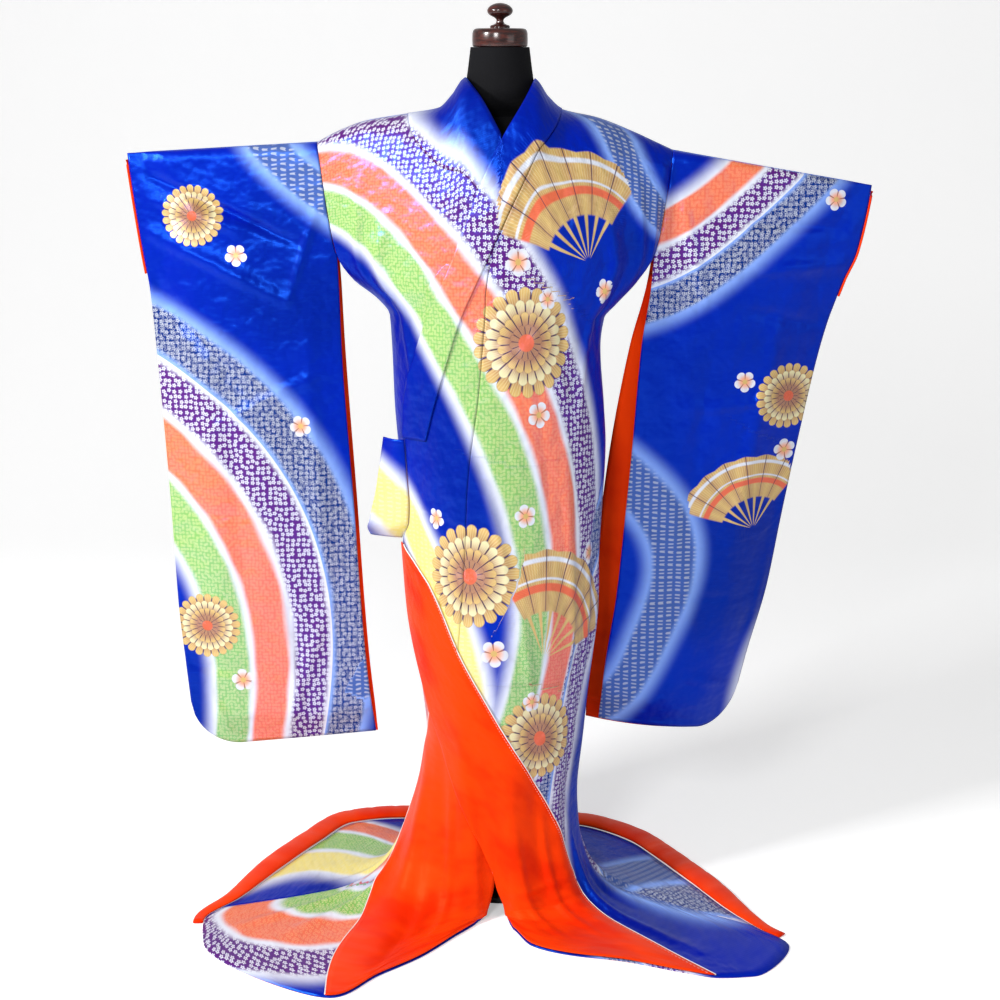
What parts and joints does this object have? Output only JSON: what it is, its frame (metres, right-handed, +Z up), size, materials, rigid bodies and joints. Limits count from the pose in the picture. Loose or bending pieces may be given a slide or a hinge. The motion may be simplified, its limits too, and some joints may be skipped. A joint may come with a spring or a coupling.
{
  "type": "uchikake wedding kimono on a dress form",
  "caption": "Long-sleeved padded-hem wedding kimono in blue satin with red lining, draped closed on a black limbless dress form, its train spread on the floor.",
  "frame": {"origin": "centre of the underside of the stand's base, on the floor", "axes": "+Z up, -Y the front of the kimono, +X the wearer's left"},
  "size_m": [1.243, 0.7064, 1.5545],
  "materials": {
    "blue_satin": "lustrous woven silk satin with colour bands",
    "red_lining": "smooth silk lining with a soft sheen",
    "black_jersey": "matt knitted cover",
    "dark_wood": "dark red-brown gloss lacquer",
    "black_paint": "satin black paint"
  },
  "bodies": {
    "root": {"back_left": "blue_satin", "back_right": "blue_satin", "front_left": "blue_satin", "front_right": "blue_satin", "okumi_left": "blue_satin", "collar_left": "blue_satin", "collar_right": "blue_satin", "hip_fold": "blue_satin", "sleeve_left_front": "blue_satin", "sleeve_left_back": "blue_satin", "sleeve_right_front": "blue_satin", "sleeve_right_back": "blue_satin", "turned_front_left": "red_lining", "turned_front_right": "red_lining", "sleeve_left_lining": "red_lining", "cuff_left": "red_lining", "cuff_right": "red_lining", "hem_roll_left": "red_lining", "hem_roll_right": "red_lining", "form_torso": "black_jersey", "neck_cap": "dark_wood", "finial": "dark_wood", "stand_pole": "black_paint", "stand_base": "black_paint"}
  },
  "joints": []
}
